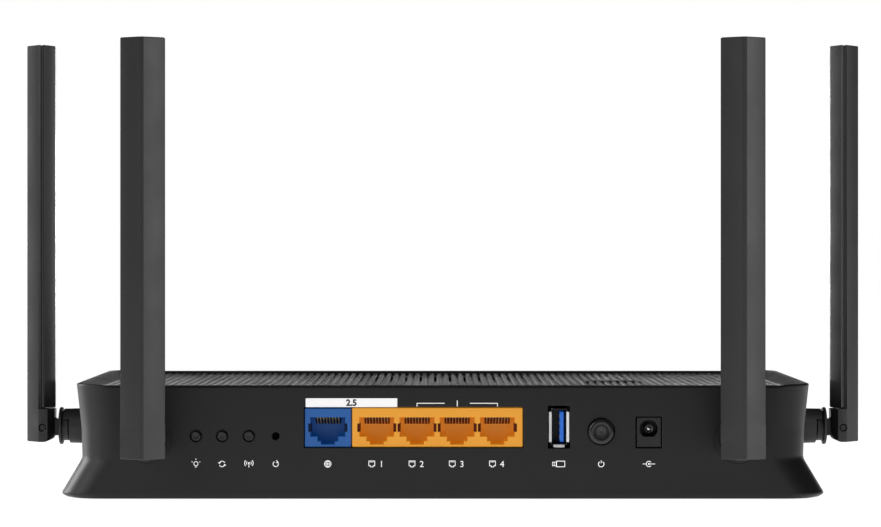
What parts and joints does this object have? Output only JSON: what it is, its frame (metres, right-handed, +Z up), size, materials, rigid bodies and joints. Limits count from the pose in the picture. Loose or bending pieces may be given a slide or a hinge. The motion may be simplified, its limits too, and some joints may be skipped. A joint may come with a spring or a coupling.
{
  "type": "wireless router",
  "caption": "Wireless router with a flared black housing, network jacks, USB socket, power inlet and buttons on one wall, and antennas that swivel and tilt.",
  "frame": {"origin": "middle of the whole router's footprint, on the surface that the feet stand on", "axes": "+Z up; -Y points out of the wall with the jacks; +X is to the right when that wall is looked at; left and right in names are as seen from there"},
  "size_m": [0.2962, 0.1586, 0.1582],
  "materials": {
    "housing_plastic": "fine satin black",
    "panel_plastic": "satin black, ribbed",
    "antenna_plastic": "fine sparkled matte black",
    "socket_plastic": "matte black",
    "button_plastic": "satin black",
    "inlet_black": "satin black",
    "switch_black": "matte black",
    "window_smoke": "smoked gloss",
    "light_pipe_clear": "clear",
    "foot_rubber": "soft matte",
    "jack_orange": "satin orange",
    "jack_blue": "satin blue",
    "usb_blue": "satin blue",
    "cable_grey": "matte dark grey",
    "board_green": "solder resist green",
    "print_white": "printed white ink",
    "contact_gold": "gold plated",
    "screw_steel": "zinc plated",
    "shield_steel": "bright tin plate",
    "heatsink_aluminium": "extruded"
  },
  "bodies": {
    "housing": {"main_housing": "housing_plastic", "bottom_cover": "housing_plastic", "top_vent_panel": "panel_plastic", "led_window": "window_smoke", "led_light_pipe": "light_pipe_clear", "rear_left_foot": "foot_rubber", "rear_right_foot": "foot_rubber", "front_left_foot": "foot_rubber", "front_right_foot": "foot_rubber", "left_housing_screw": "screw_steel", "right_housing_screw": "screw_steel", "circuit_board": "board_green", "heatsink": "heatsink_aluminium", "rf_shield": "shield_steel", "usb_shell": "shield_steel", "dc_jack_pin": "shield_steel", "lan_jack_block": "jack_orange", "wan_jack": "jack_blue", "lan_contacts": "contact_gold", "wan_contacts": "contact_gold", "usb_tongue": "usb_blue", "dc_jack_body": "inlet_black", "power_switch": "switch_black", "indicator_switch": "switch_black", "pairing_switch": "switch_black", "radio_switch": "switch_black", "reset_switch": "switch_black", "rear_left_antenna_socket": "socket_plastic", "rear_right_antenna_socket": "socket_plastic", "side_left_antenna_socket": "socket_plastic", "side_right_antenna_socket": "socket_plastic", "rear_left_antenna_lead": "cable_grey", "rear_right_antenna_lead": "cable_grey", "side_left_antenna_lead": "cable_grey", "side_right_antenna_lead": "cable_grey"},
    "indicator_button_cap": {"indicator_button": "button_plastic"},
    "pairing_button_cap": {"pairing_button": "button_plastic"},
    "radio_button_cap": {"radio_button": "button_plastic"},
    "reset_button_cap": {"reset_button": "button_plastic"},
    "power_button_cap": {"power_button": "button_plastic"},
    "rear_left_swivel": {"rear_left_antenna_swivel": "antenna_plastic"},
    "rear_left_blade": {"rear_left_antenna_hinge_pin": "antenna_plastic", "rear_left_antenna_outer_shell": "antenna_plastic", "rear_left_antenna_inner_shell": "antenna_plastic", "rear_left_antenna_radiator": "board_green"},
    "rear_right_swivel": {"rear_right_antenna_swivel": "antenna_plastic"},
    "rear_right_blade": {"rear_right_antenna_hinge_pin": "antenna_plastic", "rear_right_antenna_outer_shell": "antenna_plastic", "rear_right_antenna_inner_shell": "antenna_plastic", "rear_right_antenna_radiator": "board_green"},
    "side_left_swivel": {"side_left_antenna_swivel": "antenna_plastic"},
    "side_left_blade": {"side_left_antenna_hinge_pin": "antenna_plastic", "side_left_antenna_outer_shell": "antenna_plastic", "side_left_antenna_inner_shell": "antenna_plastic", "side_left_antenna_radiator": "board_green"},
    "side_right_swivel": {"side_right_antenna_swivel": "antenna_plastic"},
    "side_right_blade": {"side_right_antenna_hinge_pin": "antenna_plastic", "side_right_antenna_outer_shell": "antenna_plastic", "side_right_antenna_inner_shell": "antenna_plastic", "side_right_antenna_radiator": "board_green"}
  },
  "joints": [
    {"name": "indicator_button_press", "type": "slide", "parent": "housing", "child": "indicator_button_cap", "axis": [0, 1, 0], "range_m": [0, 0.0006], "stiffness_N_per_m": 1500, "springref_m": -0.0004},
    {"name": "pairing_button_press", "type": "slide", "parent": "housing", "child": "pairing_button_cap", "axis": [0, 1, 0], "range_m": [0, 0.0006], "stiffness_N_per_m": 1500, "springref_m": -0.0004},
    {"name": "radio_button_press", "type": "slide", "parent": "housing", "child": "radio_button_cap", "axis": [0, 1, 0], "range_m": [0, 0.0006], "stiffness_N_per_m": 1500, "springref_m": -0.0004},
    {"name": "reset_button_press", "type": "slide", "parent": "housing", "child": "reset_button_cap", "axis": [0, 1, 0], "range_m": [0, 0.0006], "stiffness_N_per_m": 1500, "springref_m": -0.0004},
    {"name": "power_button_press", "type": "slide", "parent": "housing", "child": "power_button_cap", "axis": [0, 1, 0], "range_m": [0, 0.0018], "stiffness_N_per_m": 900, "springref_m": -0.001},
    {"name": "rear_left_swivel_turn", "type": "hinge", "parent": "housing", "child": "rear_left_swivel", "pos_m": [-0.1003, -0.05525, 0.0209], "axis": [0, -1, 0], "range_deg": [-90, 90]},
    {"name": "rear_left_blade_tilt", "type": "hinge", "parent": "rear_left_swivel", "child": "rear_left_blade", "pos_m": [-0.1003, -0.07315, 0.0205], "axis": [1, 0, 0], "range_deg": [0, 90]},
    {"name": "rear_right_swivel_turn", "type": "hinge", "parent": "housing", "child": "rear_right_swivel", "pos_m": [0.1003, -0.05525, 0.0209], "axis": [0, -1, 0], "range_deg": [-90, 90]},
    {"name": "rear_right_blade_tilt", "type": "hinge", "parent": "rear_right_swivel", "child": "rear_right_blade", "pos_m": [0.1003, -0.07315, 0.0205], "axis": [1, 0, 0], "range_deg": [0, 90]},
    {"name": "side_left_swivel_turn", "type": "hinge", "parent": "housing", "child": "side_left_swivel", "pos_m": [-0.1241, -0.00025, 0.0229], "axis": [1, 0, 0], "range_deg": [-90, 90]},
    {"name": "side_left_blade_tilt", "type": "hinge", "parent": "side_left_swivel", "child": "side_left_blade", "pos_m": [-0.142, -0.00025, 0.0225], "axis": [0, -1, 0], "range_deg": [0, 90]},
    {"name": "side_right_swivel_turn", "type": "hinge", "parent": "housing", "child": "side_right_swivel", "pos_m": [0.1241, -0.00025, 0.0229], "axis": [1, 0, 0], "range_deg": [-90, 90]},
    {"name": "side_right_blade_tilt", "type": "hinge", "parent": "side_right_swivel", "child": "side_right_blade", "pos_m": [0.142, -0.00025, 0.0225], "axis": [0, 1, 0], "range_deg": [0, 90]}
  ]
}
